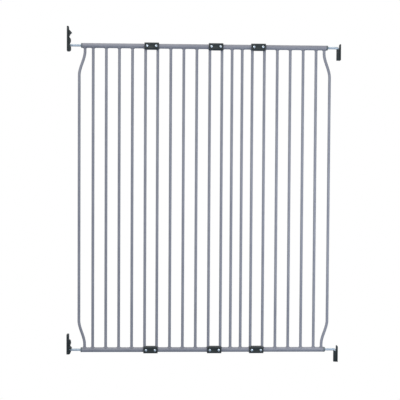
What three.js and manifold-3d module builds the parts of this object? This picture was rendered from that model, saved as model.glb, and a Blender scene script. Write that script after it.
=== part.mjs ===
// Screw-fit pet gate: four bar panels joined by sleeve clips, swinging on two
// L-shaped hinge pins and dropping into two latch brackets.
// Millimetres. +X right, +Y away from the viewer, +Z up.
// Origin: middle of the doorway, level with the underside of the lowest bracket.

import * as THREE from 'three';
import { mergeVertices } from 'three/addons/utils/BufferGeometryUtils.js';
import Module from 'manifold-3d';

const wasm = await Module();
wasm.setup();

// ---------------------------------------------------------------- driving sizes

const GAP = 0.3;                 // clearance between pieces that touch
const RAIL_SPACING = 985;        // top rail axis to bottom rail axis
const LOW_RAIL_Z = 40;
const HIGH_RAIL_Z = LOW_RAIL_Z + RAIL_SPACING;

const RAIL_LENGTH = 799;         // over the end plugs
const LATCH_GAP = 45;            // wall to the face of the left end plug
const HINGE_GAP = 40.6;
const DOORWAY = LATCH_GAP + RAIL_LENGTH + HINGE_GAP;
const LATCH_WALL = -DOORWAY / 2;
const HINGE_WALL = DOORWAY / 2;
const GATE_X = (LATCH_GAP - HINGE_GAP) / 2;   // the gate's middle
const RAIL_RADIUS = 7.75;
const RAIL_WALL = 1.2;
const RAIL_BORE = RAIL_RADIUS - RAIL_WALL;

const BAR_RADIUS = 4.5;
const BAR_BORE = 3.5;            // bars and stiles are tubes with a 1 mm wall
const BAR_PITCH = 42.1;
const NARROW_PITCH = 32.8;
const CLIP_SPAN = 39.3;          // last bar of one panel to first bar of the next
const STILE_TO_BAR = 26.25;      // curved stile, at the rail, to the first bar
const STILE_BOW = 18.5;          // how far the stile bows out between the rails
const BOW_START = 18;            // rail axis to the start of the bend
const BOW_END = 96;              // rail axis to the end of the bend

const CLIP_LENGTH = 46.5;
const CLIP_SIZE = 22;
const CLIP_CORNER = 4;
const SCREW_SPACING = 29;
const SCREW_RADIUS = 2;
const SCREW_HEAD_RADIUS = 3.8;
const SCREW_HEAD_HEIGHT = 2.3;
const SCREW_TIP_Y = -4;          // the tip ends inside the hollow rail

const PLUG_FLANGE = 3.4;         // thin flat flange on the latch side
const PLUG_DOME = 0.6;
const CAP_FLANGE = 5.2;          // domed cap on the hinge side
const CAP_DOME = 3;
const PLUG_RADIUS = 8;
const PLUG_INSERT = 18;

const PIN_RADIUS = 4;
const PIN_BORE = PIN_RADIUS + GAP;
const LATCH_PIN_TIP = 7.5;       // wall to the tip of a latch pin
const LATCH_PIN_LENGTH = 112;
const LATCH_PIN_CHAMFER = 1.5;
const HINGE_PIN_INSIDE = 56;     // hinge pin inside the rail, from the plug's face
const PEG_OFFSET = 7.2;          // wall to the hinge axis
const PEG_DROP = 34;
const PEG_BEND = 5;

const PLATE_WIDTH = 26;
const PLATE_ARCH = 5;            // corners at the top of every plate
const PLATE_FOOT = 3;            // corners at its foot
const HINGE_PLATE = 2.5;
const HINGE_TOP = 12.3;          // hinge bracket, above the pin axis
const HINGE_BOTTOM = -40;
const HINGE_HOLE = { y: 9.6, z: -22, radius: 1.9, sink: 2.9 };
const SOCKET_TOP = -4.3;
const SOCKET_RADIUS = 6.4;
const SOCKET_REACH = 13;
const SOCKET_DEPTH = 32;

// The two latch brackets differ in height, thickness and reach.
const UPPER = { plate: 5.4, top: 61, bottom: -18.8, reach: 11.8, corner: 6.5, holes: [54.8, 0.6] };
const LOWER = { plate: 6.8, top: 51.5, bottom: -13.4, reach: 12.6, corner: 5.5, holes: [42, 0] };
const LATCH_HOLE = { radius: 2.3, sink: 3.8 };
const CRADLE_HALF = 12;
const CRADLE_FLOOR = -(PIN_RADIUS + GAP);
const LIP_INNER = PIN_RADIUS + 0.4;
const LIP_TOP = 4;               // at the plate; it slopes down to its front
const LIP_FRONT = -2.5;
const LOCK_HALF = 9;
const NECK_HALF = 4.7;           // the neck slides in the plate's slot
const NECK_BOTTOM = 8;
const NECK_TOP = 42;
const LOCK_TRAVEL = 6.5;
const SLOT_BOTTOM = NECK_BOTTOM - 1;
const SLOT_TOP = NECK_TOP + LOCK_TRAVEL + 0.5;
const RECESS_DEPTH = 1.7;        // behind the plate, for the lock's flange
const STALK_REACH = 7.8;
const STALK_TOP = 10;
const NOSE_REACH = 11.5;
const NOSE_TOP = 3.4;
const NOSE_BOTTOM = -2.2;

const ROUND = 12;                // sides of bars and pins
const BORE_SIDES = 6;            // sides of the unseen bore of a bar
const RAIL_SIDES = 20;
const STILE_STEPS = 22;
const HINGE_PIN_STEPS = 12;

const COLOURS = {
  frame: { color: 0x8b8e99, roughness: 0.45, metalness: 0.35 },
  plastic: { color: 0x2f383b, roughness: 0.5, metalness: 0.0 },
  plug: { color: 0x6b767c, roughness: 0.5, metalness: 0.0 },
  zinc: { color: 0xb8c2cb, roughness: 0.3, metalness: 0.9 },
};

// ---------------------------------------------------------------- solids

function toSolid(geometry) {
  const bare = geometry.clone();
  bare.deleteAttribute('normal');
  bare.deleteAttribute('uv');
  const merged = mergeVertices(bare, 1e-4);
  return new wasm.Manifold(new wasm.Mesh({
    numProp: 3,
    vertProperties: new Float32Array(merged.attributes.position.array),
    triVerts: new Uint32Array(merged.index.array),
  }));
}

function toGeometry(solid) {
  const mesh = solid.getMesh();
  const geometry = new THREE.BufferGeometry();
  geometry.setAttribute('position', new THREE.BufferAttribute(new Float32Array(mesh.vertProperties), 3));
  geometry.setIndex(new THREE.BufferAttribute(new Uint32Array(mesh.triVerts), 1));
  geometry.computeVertexNormals();
  return geometry;
}

function join(first, ...others) {
  return others.reduce((solid, other) => solid.add(toSolid(other)), toSolid(first));
}

function cut(solid, ...tools) {
  return tools.reduce((left, tool) => left.subtract(toSolid(tool)), solid);
}

// A cylinder along one axis, between two places on that axis, through (a, b) on the other two.
function rod(axis, radius, from, to, a = 0, b = 0, sides = ROUND) {
  const geometry = new THREE.CylinderGeometry(radius, radius, to - from, sides);
  const middle = (from + to) / 2;
  if (axis === 'x') {
    geometry.rotateZ(-Math.PI / 2).translate(middle, a, b);
  } else if (axis === 'y') {
    geometry.translate(a, middle, b);
  } else {
    geometry.rotateX(Math.PI / 2).translate(a, b, middle);
  }
  return geometry;
}

function block(x0, x1, y0, y1, z0, z1) {
  const geometry = new THREE.BoxGeometry(x1 - x0, y1 - y0, z1 - z0);
  return geometry.translate((x0 + x1) / 2, (y0 + y1) / 2, (z0 + z1) / 2);
}

function roundedRectangle(width, height, low, high = low) {
  const shape = new THREE.Shape();
  const w = width / 2;
  const h = height / 2;
  shape.moveTo(-w + low, -h);
  shape.lineTo(w - low, -h);
  shape.absarc(w - low, -h + low, low, -Math.PI / 2, 0);
  shape.absarc(w - high, h - high, high, 0, Math.PI / 2);
  shape.absarc(-w + high, h - high, high, Math.PI / 2, Math.PI);
  shape.absarc(-w + low, -h + low, low, Math.PI, 1.5 * Math.PI);
  return shape;
}

function extrude(shape, depth, curveSegments = 4) {
  return new THREE.ExtrudeGeometry(shape, { depth, curveSegments, bevelEnabled: false });
}

// A shape drawn with x = reach from the wall and y = height, given thickness along Y.
function sideways(shape, y0, y1) {
  return extrude(shape, y1 - y0).rotateX(Math.PI / 2).translate(0, y1, 0);
}

// A wall plate with rounded corners, standing off the wall by its thickness.
function plate(bottom, top, thickness) {
  return extrude(roundedRectangle(PLATE_WIDTH, top - bottom, PLATE_FOOT, PLATE_ARCH), thickness, 6)
    .rotateX(Math.PI / 2)
    .rotateZ(Math.PI / 2)
    .translate(0, 0, (bottom + top) / 2);
}

// ---------------------------------------------------------------- placing pieces

const group = new THREE.Group();
group.name = 'pet_gate';

function add(name, geometry, look) {
  const mesh = new THREE.Mesh(geometry, new THREE.MeshStandardMaterial({ ...COLOURS[look], name: look }));
  mesh.name = name;
  group.add(mesh);
  return mesh;
}

// ---------------------------------------------------------------- layout along X

const PANELS = [
  { name: 'a', bars: 5, pitch: BAR_PITCH },
  { name: 'b', bars: 5, pitch: BAR_PITCH },
  { name: 'c', bars: 4, pitch: NARROW_PITCH },
  { name: 'd', bars: 5, pitch: BAR_PITCH },
];

const barsWidth = PANELS.reduce((sum, panel) => sum + (panel.bars - 1) * panel.pitch, 0)
  + (PANELS.length - 1) * CLIP_SPAN;

let nextBar = GATE_X - barsWidth / 2;
for (const panel of PANELS) {
  panel.barX = Array.from({ length: panel.bars }, (_, i) => nextBar + i * panel.pitch);
  nextBar = panel.barX[panel.bars - 1] + CLIP_SPAN;
}

const clipX = PANELS.slice(1).map((panel) => panel.barX[0] - CLIP_SPAN / 2);
const railLeft = LATCH_WALL + LATCH_GAP;
const railRight = HINGE_WALL - HINGE_GAP;
const jointX = [railLeft + PLUG_FLANGE + GAP, ...clipX, railRight - CAP_FLANGE - GAP];
const LEVELS = [
  { name: 'top', z: HIGH_RAIL_Z, inward: -1 },
  { name: 'bottom', z: LOW_RAIL_Z, inward: 1 },
];

// ---------------------------------------------------------------- rails

function screwHole(x, z) {
  return rod('y', SCREW_RADIUS + GAP, -CLIP_SIZE, 0, x, z, 10);
}

function rail(panelIndex, z) {
  const start = jointX[panelIndex] + (panelIndex > 0 ? GAP : 0);
  const end = jointX[panelIndex + 1] - (panelIndex < PANELS.length - 1 ? GAP : 0);
  const holes = clipX
    .flatMap((x) => [x - SCREW_SPACING / 2, x + SCREW_SPACING / 2])
    .filter((x) => x > start && x < end)
    .map((x) => screwHole(x, z));
  const tube = toSolid(rod('x', RAIL_RADIUS, start, end, 0, z, RAIL_SIDES));
  const bore = rod('x', RAIL_BORE, start - 1, end + 1, 0, z, RAIL_SIDES);
  return toGeometry(cut(tube, bore, ...holes));
}

for (const level of LEVELS) {
  PANELS.forEach((panel, i) => {
    add(`rail_${level.name}_${panel.name}`, rail(i, level.z), 'frame');
  });
}

// ---------------------------------------------------------------- bars and stiles

// The ends of bars are coped to fit against the round rails.
function cope(solid, x) {
  const reach = 2 * STILE_BOW;
  const tools = LEVELS.map((level) => {
    return rod('x', RAIL_RADIUS + GAP, x - reach, x + reach, 0, level.z, RAIL_SIDES);
  });
  return toGeometry(cut(solid, ...tools));
}

for (const panel of PANELS) {
  panel.barX.forEach((x, i) => {
    const outside = toSolid(rod('z', BAR_RADIUS, LOW_RAIL_Z, HIGH_RAIL_Z, x, 0));
    const bar = cut(outside, rod('z', BAR_BORE, LOW_RAIL_Z - 1, HIGH_RAIL_Z + 1, x, 0, BORE_SIDES));
    add(`bar_${panel.name}${i + 1}`, cope(bar, x), 'frame');
  });
}

// Straight at each rail, then an S-bend outward; most steps lie in the bends.
class StilePath extends THREE.Curve {
  constructor(x, side) {
    super();
    this.x = x;
    this.side = side;
  }

  getPoint(t) {
    const bendShare = 0.46;
    const nearest = Math.min(t, 1 - t);
    let rise = (nearest / bendShare) * BOW_END;
    if (nearest > bendShare) {
      rise = BOW_END + ((nearest - bendShare) / (0.5 - bendShare)) * (RAIL_SPACING / 2 - BOW_END);
    }
    const bow = STILE_BOW * THREE.MathUtils.smoothstep(rise, BOW_START, BOW_END);
    const z = t < 0.5 ? LOW_RAIL_Z + rise : HIGH_RAIL_Z - rise;
    return new THREE.Vector3(this.x + this.side * bow, 0, z);
  }

  // Steps follow t itself rather than the length along the curve.
  getUtoTmapping(u) {
    return u;
  }
}

function circleShape(radius, sides) {
  const shape = new THREE.Shape();
  for (let i = 0; i < sides; i += 1) {
    const angle = (2 * Math.PI * i) / sides;
    const x = radius * Math.cos(angle);
    const y = radius * Math.sin(angle);
    if (i === 0) {
      shape.moveTo(x, y);
    } else {
      shape.lineTo(x, y);
    }
  }
  shape.closePath();
  return shape;
}

function sweep(path, radius, sides, steps) {
  const section = circleShape(radius, sides);
  return new THREE.ExtrudeGeometry(section, { extrudePath: path, steps, bevelEnabled: false });
}

const stileX = barsWidth / 2 + STILE_TO_BAR;
for (const [name, side] of [['left', -1], ['right', 1]]) {
  const x = GATE_X + side * stileX;
  const path = new StilePath(x, side);
  const stile = cut(
    toSolid(sweep(path, BAR_RADIUS, ROUND, STILE_STEPS)),
    sweep(path, BAR_BORE, BORE_SIDES, STILE_STEPS),
  );
  add(`stile_${name}`, cope(stile, x), 'frame');
}

// ---------------------------------------------------------------- joining clips

function clip(x, z, inward) {
  const half = CLIP_LENGTH / 2;
  const body = toSolid(extrude(roundedRectangle(CLIP_SIZE, CLIP_SIZE, CLIP_CORNER), CLIP_LENGTH, 3)
    .rotateY(Math.PI / 2)
    .translate(x - half, 0, z));
  const bore = rod('x', RAIL_RADIUS + GAP, x - half - 1, x + half + 1, 0, z, RAIL_SIDES);
  const tools = [bore];
  for (const side of [-1, 1]) {
    const barX = x + side * (CLIP_SPAN / 2);
    const slotHalf = BAR_RADIUS + GAP;
    const outside = x + side * (half + 1);
    const floor = z + inward * CLIP_SIZE;
    tools.push(rod('z', slotHalf, Math.min(z, floor), Math.max(z, floor), barX, 0));
    tools.push(block(
      Math.min(barX, outside), Math.max(barX, outside),
      -slotHalf, slotHalf,
      Math.min(z, floor), Math.max(z, floor),
    ));
    tools.push(screwHole(x + side * (SCREW_SPACING / 2), z));
  }
  return toGeometry(cut(body, ...tools));
}

function clipScrew(x, z) {
  const seat = -CLIP_SIZE / 2 - GAP;
  const profile = [
    [0, SCREW_TIP_Y],
    [SCREW_RADIUS * 0.6, SCREW_TIP_Y],
    [SCREW_RADIUS, SCREW_TIP_Y - 1],
    [SCREW_RADIUS, seat],
    [SCREW_HEAD_RADIUS, seat],
    [SCREW_HEAD_RADIUS, seat - SCREW_HEAD_HEIGHT * 0.45],
    [SCREW_HEAD_RADIUS * 0.7, seat - SCREW_HEAD_HEIGHT * 0.9],
    [0, seat - SCREW_HEAD_HEIGHT],
  ];
  return closedLathe(profile, 10).translate(x, 0, z);
}

// Turned about the Y axis; the profile runs from its highest Y down to its lowest.
function closedLathe(profile, sides) {
  const points = profile.map(([radius, y]) => new THREE.Vector2(radius, y)).reverse();
  return toGeometry(toSolid(new THREE.LatheGeometry(points, sides)));
}

for (const level of LEVELS) {
  clipX.forEach((x, i) => {
    const place = `${level.name}_${i + 1}`;
    add(`clip_${place}`, clip(x, level.z, level.inward), 'plastic');
    add(`clip_screw_${place}_left`, clipScrew(x - SCREW_SPACING / 2, level.z), 'zinc');
    add(`clip_screw_${place}_right`, clipScrew(x + SCREW_SPACING / 2, level.z), 'zinc');
  });
}

// ---------------------------------------------------------------- end plugs

// A flanged plug for the end of a rail, bored for the pin, with its face at x = 0.
function endPlug(flange, dome) {
  const profile = [
    [PIN_BORE, 0],
    [PLUG_RADIUS - dome, 0],
    [PLUG_RADIUS - dome * 0.3, -dome * 0.3],
    [PLUG_RADIUS, -dome],
    [PLUG_RADIUS, -flange],
    [RAIL_BORE - GAP, -flange],
    [RAIL_BORE - GAP, -flange - PLUG_INSERT],
    [PIN_BORE, -flange - PLUG_INSERT],
    [PIN_BORE, 0],
  ];
  return closedLathe(profile, 16).rotateZ(-Math.PI / 2);
}

// ---------------------------------------------------------------- pins

function latchPin(z) {
  const tip = LATCH_WALL + LATCH_PIN_TIP;
  const profile = [
    [0, tip + LATCH_PIN_LENGTH],
    [PIN_RADIUS, tip + LATCH_PIN_LENGTH],
    [PIN_RADIUS, tip + LATCH_PIN_CHAMFER],
    [PIN_RADIUS - LATCH_PIN_CHAMFER, tip],
    [0, tip],
  ];
  return closedLathe(profile, ROUND).rotateZ(-Math.PI / 2).translate(0, 0, z);
}

class HingePinPath extends THREE.CurvePath {
  constructor(z) {
    super();
    const axisX = HINGE_WALL - PEG_OFFSET;
    const inner = new THREE.Vector3(railRight - HINGE_PIN_INSIDE, 0, z);
    const bendStart = new THREE.Vector3(axisX - PEG_BEND, 0, z);
    const corner = new THREE.Vector3(axisX, 0, z);
    const bendEnd = new THREE.Vector3(axisX, 0, z - PEG_BEND);
    const tip = new THREE.Vector3(axisX, 0, z - PEG_DROP);
    this.add(new THREE.LineCurve3(inner, bendStart));
    this.add(new THREE.QuadraticBezierCurve3(bendStart, corner, bendEnd));
    this.add(new THREE.LineCurve3(bendEnd, tip));
  }

  // Each of the three stretches takes a third of the steps.
  getUtoTmapping(u) {
    return u;
  }

  getPoint(t) {
    const scaled = Math.min(t * this.curves.length, this.curves.length - 1e-9);
    const index = Math.floor(scaled);
    return this.curves[index].getPoint(scaled - index);
  }
}

for (const level of LEVELS) {
  const plug = endPlug(PLUG_FLANGE, PLUG_DOME).rotateY(Math.PI).translate(railLeft, 0, level.z);
  const cap = endPlug(CAP_FLANGE, CAP_DOME).translate(railRight, 0, level.z);
  add(`end_plug_${level.name}_left`, plug, 'plug');
  add(`end_plug_${level.name}_right`, cap, 'plug');
  add(`latch_pin_${level.name}`, latchPin(level.z), 'zinc');
  const hingePin = sweep(new HingePinPath(level.z), PIN_RADIUS, ROUND, HINGE_PIN_STEPS);
  add(`hinge_pin_${level.name}`, hingePin, 'zinc');
}

// ---------------------------------------------------------------- wall brackets

// Brackets are drawn at the left wall, x = reach from the wall, z = 0 at the pin's axis.

// A countersunk screw hole through a plate.
function wallHole(thickness, y, z, { radius, sink }) {
  const profile = [
    [0, thickness + 1],
    [sink, thickness + 1],
    [sink, thickness],
    [radius, thickness + radius - sink],
    [radius, -1],
    [0, -1],
  ];
  return closedLathe(profile, ROUND).rotateZ(-Math.PI / 2).translate(0, y, z);
}

function polygon(points) {
  const shape = new THREE.Shape();
  points.forEach(([x, z], i) => {
    if (i === 0) {
      shape.moveTo(x, z);
    } else {
      shape.lineTo(x, z);
    }
  });
  return shape;
}

// The cradle's outline: a top edge, then down the front and round under to the plate.
function cradleShape({ bottom, reach, corner }, topEdge) {
  const shape = polygon([[1, topEdge[0][1]], ...topEdge]);
  shape.lineTo(reach, bottom + corner);
  shape.absarc(reach - corner, bottom + corner, corner, 0, -Math.PI / 2, true);
  shape.lineTo(1, bottom);
  return shape;
}

// A floor under the pin and a lip on the viewer's side; the rear is open for the swing.
function cradle(bracket) {
  const lipEdge = [[bracket.plate, LIP_TOP], [bracket.reach, LIP_FRONT]];
  const floorEdge = [[bracket.reach, CRADLE_FLOOR]];
  return [
    sideways(cradleShape(bracket, lipEdge), -CRADLE_HALF, -LIP_INNER),
    sideways(cradleShape(bracket, floorEdge), -CRADLE_HALF, CRADLE_HALF),
  ];
}

// A sloping hood just above the pin keeps it from lifting out.
function hoodShape() {
  const low = PIN_RADIUS + 0.5;
  return polygon([[1, low], [15.8, low], [11, 10.5], [9.5, 13], [1, 13]]);
}

// The fixed stop over the hood.
function stopShape() {
  const shape = polygon([[1, 12.5], [8, 13], [11.8, 16]]);
  shape.quadraticCurveTo(13.1, 17.5, 13.1, 22);
  shape.quadraticCurveTo(13.1, 29, 10.8, 31.3);
  shape.lineTo(LOWER.plate, 33.5);
  shape.lineTo(1, 33.5);
  return shape;
}

// The rounded hump of the lock, above the pin.
function humpShape(from) {
  const shape = polygon([[from, 5.5], [8.2, 6]]);
  shape.quadraticCurveTo(11.6, 9.5, 11.7, 16.5);
  shape.quadraticCurveTo(11.7, 22.8, 8, 25.7);
  shape.lineTo(from, 26.5);
  return shape;
}

function thumbTabShape(from) {
  const shape = polygon([[from, 51], [14.7, 41.6], [15.3, 40.8], [14.7, 40]]);
  shape.quadraticCurveTo(8.8, 36.2, from + 1, 28);
  shape.lineTo(from, 28);
  return shape;
}

function latchHoles({ plate: thickness, holes }) {
  return holes.map((z) => wallHole(thickness, 0, z, LATCH_HOLE));
}

function upperLatchBracket() {
  const body = join(plate(UPPER.bottom, UPPER.top, UPPER.plate), ...cradle(UPPER));
  const slotHalf = NECK_HALF + GAP;
  const recess = block(-1, RECESS_DEPTH, -LOCK_HALF, LOCK_HALF, SLOT_BOTTOM, SLOT_TOP);
  const slot = block(-1, UPPER.plate + 1, -slotHalf, slotHalf, SLOT_BOTTOM, SLOT_TOP);
  return cut(body, recess, slot, ...latchHoles(UPPER));
}

function lowerLatchBracket() {
  const body = join(
    plate(LOWER.bottom, LOWER.top, LOWER.plate),
    ...cradle(LOWER),
    sideways(hoodShape(), -CRADLE_HALF, CRADLE_HALF),
    sideways(stopShape(), -LOCK_HALF, LOCK_HALF),
  );
  return cut(body, ...latchHoles(LOWER));
}

// The lock: a flange behind the plate, a neck through its slot, the hump and tab in front,
// and a nose on a stalk that stands behind the pin while the lock is shut.
function lockSlider() {
  const front = UPPER.plate + GAP;
  const flangeHalf = LOCK_HALF - 0.5;
  const behindPin = LIP_INNER + 0.2;
  return join(
    block(GAP, RECESS_DEPTH - GAP, -flangeHalf, flangeHalf, NECK_BOTTOM, NECK_TOP),
    block(1, front + 0.5, -NECK_HALF, NECK_HALF, NECK_BOTTOM, NECK_TOP),
    block(front, STALK_REACH, behindPin, LOCK_HALF, NOSE_BOTTOM, STALK_TOP),
    block(front, NOSE_REACH, behindPin, LOCK_HALF, NOSE_BOTTOM, NOSE_TOP),
    sideways(humpShape(front), -LOCK_HALF, LOCK_HALF),
    sideways(thumbTabShape(front), -LOCK_HALF, LOCK_HALF),
  );
}

function hingeBracket() {
  const centre = SOCKET_REACH - SOCKET_RADIUS;
  const socket = new THREE.Shape();
  socket.moveTo(1, -SOCKET_RADIUS);
  socket.lineTo(centre, -SOCKET_RADIUS);
  socket.absarc(centre, 0, SOCKET_RADIUS, -Math.PI / 2, Math.PI / 2);
  socket.lineTo(1, SOCKET_RADIUS);
  const body = join(
    plate(HINGE_BOTTOM, HINGE_TOP, HINGE_PLATE),
    extrude(socket, SOCKET_TOP - HINGE_BOTTOM, 6).translate(0, 0, HINGE_BOTTOM),
  );
  const well = rod('z', PIN_BORE, SOCKET_TOP - SOCKET_DEPTH, SOCKET_TOP + 1, PEG_OFFSET, 0);
  const holes = [-HINGE_HOLE.y, HINGE_HOLE.y].map((y) => wallHole(HINGE_PLATE, y, HINGE_HOLE.z, HINGE_HOLE));
  return cut(body, well, ...holes);
}

function mountLeft(name, solid, z) {
  add(name, toGeometry(solid), 'plastic').position.set(LATCH_WALL, 0, z);
}

function mountRight(name, solid, z) {
  const mesh = add(name, toGeometry(solid), 'plastic');
  mesh.position.set(HINGE_WALL, 0, z);
  mesh.rotation.z = Math.PI;
}

mountLeft('latch_bracket_top', upperLatchBracket(), HIGH_RAIL_Z);
mountLeft('lock_slider', lockSlider(), HIGH_RAIL_Z);
mountLeft('latch_bracket_bottom', lowerLatchBracket(), LOW_RAIL_Z);
mountRight('hinge_bracket_top', hingeBracket(), HIGH_RAIL_Z);
mountRight('hinge_bracket_bottom', hingeBracket(), LOW_RAIL_Z);

export default group;
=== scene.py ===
"""Pet gate: the looks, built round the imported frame.

Metres, +X towards the hinges, +Y away from the viewer, +Z up. Bracket sizes are drawn in
millimetres from the wall and the pin's axis, and are brought to metres when they are placed.
"""

import math

import bmesh
import bpy
from mathutils import Euler, Matrix, Vector

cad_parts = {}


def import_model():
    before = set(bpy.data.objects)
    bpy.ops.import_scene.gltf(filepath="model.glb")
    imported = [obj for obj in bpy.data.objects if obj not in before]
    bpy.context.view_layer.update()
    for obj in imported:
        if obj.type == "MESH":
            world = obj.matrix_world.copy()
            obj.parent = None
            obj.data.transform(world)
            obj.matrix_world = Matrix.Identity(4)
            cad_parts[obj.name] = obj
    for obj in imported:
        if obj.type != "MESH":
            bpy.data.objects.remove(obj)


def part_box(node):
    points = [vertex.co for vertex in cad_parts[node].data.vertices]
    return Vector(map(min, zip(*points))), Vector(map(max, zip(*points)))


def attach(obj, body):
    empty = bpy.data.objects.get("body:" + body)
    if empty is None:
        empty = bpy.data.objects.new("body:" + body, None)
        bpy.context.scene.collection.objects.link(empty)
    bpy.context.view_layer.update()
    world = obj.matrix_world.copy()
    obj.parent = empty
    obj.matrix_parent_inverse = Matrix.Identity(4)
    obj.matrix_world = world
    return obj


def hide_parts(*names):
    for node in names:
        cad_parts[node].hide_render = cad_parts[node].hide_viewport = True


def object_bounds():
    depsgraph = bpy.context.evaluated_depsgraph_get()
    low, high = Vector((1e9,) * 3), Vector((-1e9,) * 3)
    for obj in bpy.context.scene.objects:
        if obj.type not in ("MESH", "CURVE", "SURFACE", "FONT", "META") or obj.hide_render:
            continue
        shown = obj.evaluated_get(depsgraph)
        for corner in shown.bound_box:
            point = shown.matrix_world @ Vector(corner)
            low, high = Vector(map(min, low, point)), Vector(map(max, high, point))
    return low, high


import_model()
cad_low, cad_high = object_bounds()

MM = 0.001
LEVELS = ("top", "bottom")
PANEL_BARS = {"a": 5, "b": 5, "c": 4, "d": 5}


def middle(node):
    low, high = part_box(node)
    return (low + high) / 2


def size(node):
    low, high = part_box(node)
    return high - low


WALL_X = cad_high.x
RAIL_Z = {level: middle(f"rail_{level}_b").z for level in LEVELS}
RAIL_RADIUS = size("rail_top_b").z / 2
BAR_RADIUS = size("bar_a1").x / 2
PIN_RADIUS = size("latch_pin_top").z / 2
PEG_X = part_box("hinge_pin_top")[1].x - PIN_RADIUS
STILE_FOOT = {
    "stile_left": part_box("stile_left")[1].x - BAR_RADIUS,
    "stile_right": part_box("stile_right")[0].x + BAR_RADIUS,
}
STILE_BOW = size("stile_right").x - 2 * BAR_RADIUS
CLIP_SIZE = size("clip_top_1")


# ------------------------------------------------------------------ node trees

class Nodes:
    """Adds nodes to one tree; an input is given as a value or as the socket that feeds it."""

    def __init__(self, tree):
        self.tree = tree

    def add(self, kind, inputs=None, **settings):
        node = self.tree.nodes.new(kind)
        for key, value in settings.items():
            setattr(node, key, value)
        for key, value in (inputs or {}).items():
            self.feed(node.inputs[key], value)
        return node

    def feed(self, socket, value):
        if isinstance(value, bpy.types.NodeSocket):
            self.tree.links.new(value, socket)
        else:
            socket.default_value = value

    def math(self, operation, *values):
        return self.add("ShaderNodeMath", dict(enumerate(values)), operation=operation).outputs[0]

    def colour_mix(self, mask, plain, other):
        """A mix node keeps its colour sockets after those for numbers and vectors."""
        return self.add("ShaderNodeMix", {0: mask, 6: plain, 7: other}, data_type="RGBA").outputs[2]


SOCKETS = {
    "number": "NodeSocketFloat",
    "whole": "NodeSocketInt",
    "vector": "NodeSocketVector",
    "colour": "NodeSocketColor",
    "geometry": "NodeSocketGeometry",
    "material": "NodeSocketMaterial",
    "object": "NodeSocketObject",
}


def new_group(name, kind, inputs, outputs):
    tree = bpy.data.node_groups.new(name, kind)
    for label, sort in inputs.items():
        tree.interface.new_socket(name=label, in_out="INPUT", socket_type=SOCKETS[sort])
    for label, sort in outputs.items():
        tree.interface.new_socket(name=label, in_out="OUTPUT", socket_type=SOCKETS[sort])
    nodes = Nodes(tree)
    return nodes, nodes.add("NodeGroupInput").outputs, nodes.add("NodeGroupOutput").inputs


# ------------------------------------------------------------------ shader groups

def grain_group():
    """Fine moulded or sprayed texture: a height made of two sizes of noise."""
    nodes, given, result = new_group(
        "grain", "ShaderNodeTree",
        {"Coordinates": "vector", "Grain Size": "number", "Softness": "number"},
        {"Height": "number"},
    )
    scale = nodes.math("DIVIDE", 1.0, given["Grain Size"])
    coarse = nodes.add("ShaderNodeTexNoise", {"Vector": given["Coordinates"], "Scale": scale, "Detail": 2.0})
    fine = nodes.add("ShaderNodeTexNoise", {
        "Vector": given["Coordinates"],
        "Scale": nodes.math("MULTIPLY", scale, 3.1),
        "Detail": 3.0,
    })
    blend = nodes.add("ShaderNodeMix", {
        "Factor": given["Softness"], "A": fine.outputs[0], "B": coarse.outputs[0],
    }, data_type="FLOAT")
    nodes.feed(result["Height"], blend.outputs[0])
    return nodes.tree


def drift_group():
    """Slow colour change over a surface, from a darker to a lighter tone."""
    nodes, given, result = new_group(
        "tone_drift", "ShaderNodeTree",
        {"Coordinates": "vector", "Patch Size": "number", "Light Tone": "colour", "Dark Tone": "colour"},
        {"Color": "colour", "Mask": "number"},
    )
    scale = nodes.math("DIVIDE", 1.0, given["Patch Size"])
    noise = nodes.add("ShaderNodeTexNoise", {
        "Vector": given["Coordinates"], "Scale": scale, "Detail": 4.0, "Roughness": 0.6,
    })
    spread = nodes.add("ShaderNodeMapRange", {
        "Value": noise.outputs[0], "From Min": 0.32, "From Max": 0.68,
    })
    tones = nodes.colour_mix(spread.outputs[0], given["Dark Tone"], given["Light Tone"])
    nodes.feed(result["Color"], tones)
    nodes.feed(result["Mask"], spread.outputs[0])
    return nodes.tree


def dust_group():
    """Dust that settles on faces looking up, broken into small drifts."""
    nodes, given, result = new_group(
        "settled_dust", "ShaderNodeTree",
        {"Coordinates": "vector", "Facing Up": "number", "Amount": "number", "Speck Size": "number"},
        {"Mask": "number"},
    )
    scale = nodes.math("DIVIDE", 1.0, given["Speck Size"])
    noise = nodes.add("ShaderNodeTexNoise", {"Vector": given["Coordinates"], "Scale": scale, "Detail": 5.0})
    upward = nodes.add("ShaderNodeMapRange", {
        "Value": given["Facing Up"], "From Min": 0.35, "From Max": 1.0,
    })
    specks = nodes.add("ShaderNodeMapRange", {
        "Value": noise.outputs[0], "From Min": 0.4, "From Max": 0.7,
    })
    drifts = nodes.math("MULTIPLY", upward.outputs[0], specks.outputs[0])
    nodes.feed(result["Mask"], nodes.math("MULTIPLY", drifts, given["Amount"]))
    return nodes.tree


def rub_group():
    """Sparse rubbed patches, such as hands and tools leave."""
    nodes, given, result = new_group(
        "rubbed_marks", "ShaderNodeTree",
        {"Coordinates": "vector", "Mark Size": "number", "Coverage": "number"},
        {"Mask": "number"},
    )
    scale = nodes.math("DIVIDE", 1.0, given["Mark Size"])
    noise = nodes.add("ShaderNodeTexNoise", {
        "Vector": given["Coordinates"], "Scale": scale, "Detail": 6.0, "Roughness": 0.65,
    })
    threshold = nodes.math("SUBTRACT", 0.72, given["Coverage"])
    marks = nodes.add("ShaderNodeMapRange", {
        "Value": noise.outputs[0], "From Min": threshold, "From Max": nodes.math("ADD", threshold, 0.12),
    })
    nodes.feed(result["Mask"], marks.outputs[0])
    return nodes.tree


GRAIN = grain_group()
DRIFT = drift_group()
DUST = dust_group()
RUB = rub_group()


# ------------------------------------------------------------------ materials

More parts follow.
